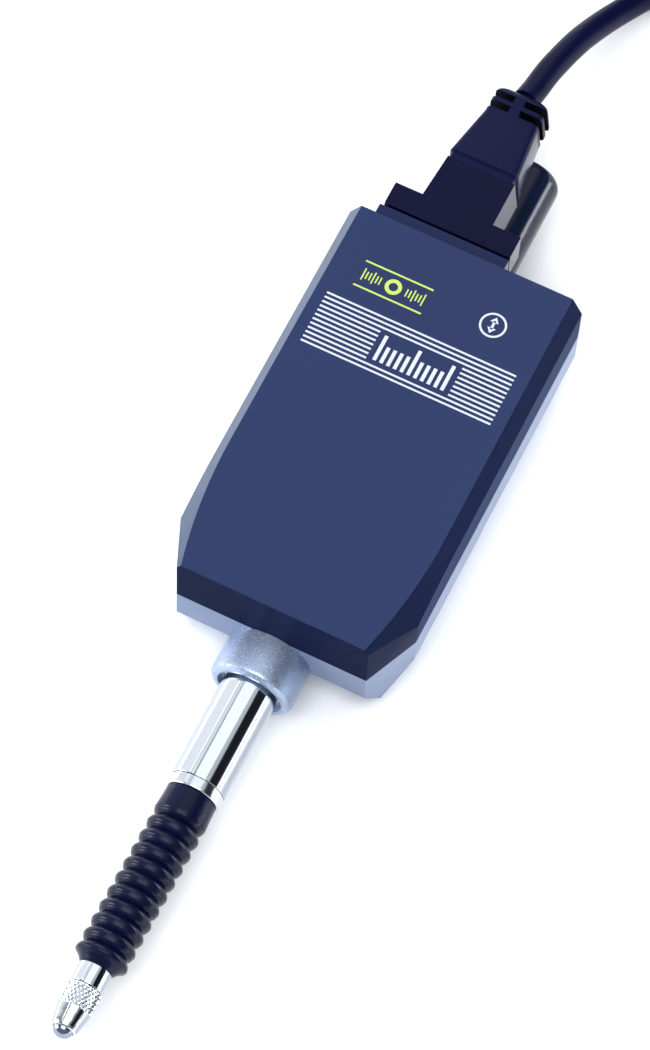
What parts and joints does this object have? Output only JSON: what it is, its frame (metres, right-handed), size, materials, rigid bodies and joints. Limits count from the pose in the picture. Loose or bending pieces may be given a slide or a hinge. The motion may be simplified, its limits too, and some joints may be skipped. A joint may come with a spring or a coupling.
{
  "type": "linear gauge",
  "caption": "Sealed linear gauge head: clamping stem with a spring-loaded plunger under a rubber bellows, flat two-part body, rear plunger cap, angled-face screwed plug and coiled cable.",
  "frame": {"origin": "on the stem axis at the end face of the stem boss", "axes": "+Y along the spindle towards the rear, so the contact tip points to -Y and the spindle is pushed in along +Y; +Z out of the printed cover; the flat back faces -Z; +X to the right when the cover is seen with the tip down"},
  "size_m": [0.0532, 0.2439, 0.0232],
  "materials": {
    "housing_paint": "smooth satin pale blue-grey paint on die-cast alloy; the stem boss is bead-blasted bare metal",
    "cover_paint": "satin navy paint with plain white stripes and a yellow-green scale mark",
    "black_rubber": "matte black rubber",
    "screw_steel": "plain machined steel",
    "polished_steel": "ground and polished hardened steel",
    "satin_ring": "turned satin steel ring",
    "bearing_steel": "ground bearing steel",
    "brass": "turned brass",
    "bellows_rubber": "near-black navy rubber with soft sheen",
    "contact_chrome": "chromed steel, diamond knurl and smooth cone",
    "carbide": "polished carbide ball",
    "bare_aluminium": "milled aluminium",
    "scale_glass": "glass scale strip with fine graduations",
    "spring_steel": "bright drawn spring wire",
    "black_plastic": "near-black moulded plastic with soft gloss",
    "board_green": "green solder mask",
    "ceramic_white": "white ceramic substrate",
    "chip_black": "black moulded chip packages",
    "flex_amber": "amber polyimide film",
    "navy_plastic": "near-black navy moulded plastic",
    "gold_contact": "gold-plated contacts",
    "overmold_rubber": "near-black navy moulded rubber",
    "cable_jacket": "near-black smooth cable jacket",
    "tie_plastic": "black hook-and-loop cable tie"
  },
  "bodies": {
    "housing": {"lower_housing": "housing_paint", "top_cover": "cover_paint", "cover_gasket": "black_rubber", "cover_screws": "screw_steel", "stem": "polished_steel", "stem_nut": "screw_steel", "stem_end_ring": "satin_ring", "bearing_sleeve": "bearing_steel", "extension_bumper": "black_rubber", "bellows": "bellows_rubber", "guide_rail": "bearing_steel", "return_spring": "spring_steel", "rear_bush": "brass", "spindle_cap": "black_plastic", "cap_o_ring": "black_rubber", "sensor_board": "board_green", "read_head": "ceramic_white", "board_chips": "chip_black", "board_screws": "screw_steel", "flex_strip": "flex_amber", "connector_socket": "navy_plastic", "socket_pins": "gold_contact", "connector_gasket": "black_rubber", "plug_body": "navy_plastic", "plug_screws": "screw_steel", "plug_overmold": "overmold_rubber", "cable": "cable_jacket", "cable_coil": "cable_jacket", "cable_tail": "cable_jacket", "coil_tie": "tie_plastic", "far_plug_boot": "overmold_rubber", "far_plug": "black_plastic", "far_plug_contacts": "gold_contact"},
    "spindle": {"spindle": "polished_steel", "contact_point": "contact_chrome", "contact_ball": "carbide", "stop_collar": "screw_steel", "scale_carrier": "bare_aluminium", "carrier_screws": "screw_steel", "encoder_scale": "scale_glass"},
    "ball_cage": {"ball_cage": "brass", "bearing_balls": "bearing_steel"}
  },
  "joints": [
    {"name": "spindle_slide", "type": "slide", "parent": "housing", "child": "spindle", "axis": [0, 1, 0], "range_m": [0, 0.0127], "stiffness_N_per_m": 40, "springref_m": -0.03, "deforming": ["bellows", "return_spring"]},
    {"name": "cage_slide", "type": "slide", "parent": "housing", "child": "ball_cage", "axis": [0, 1, 0], "range_m": [0, 0.00635]}
  ],
  "couplings": [
    {"joint": "cage_slide", "follows": "spindle_slide", "ratio": 0.5}
  ]
}
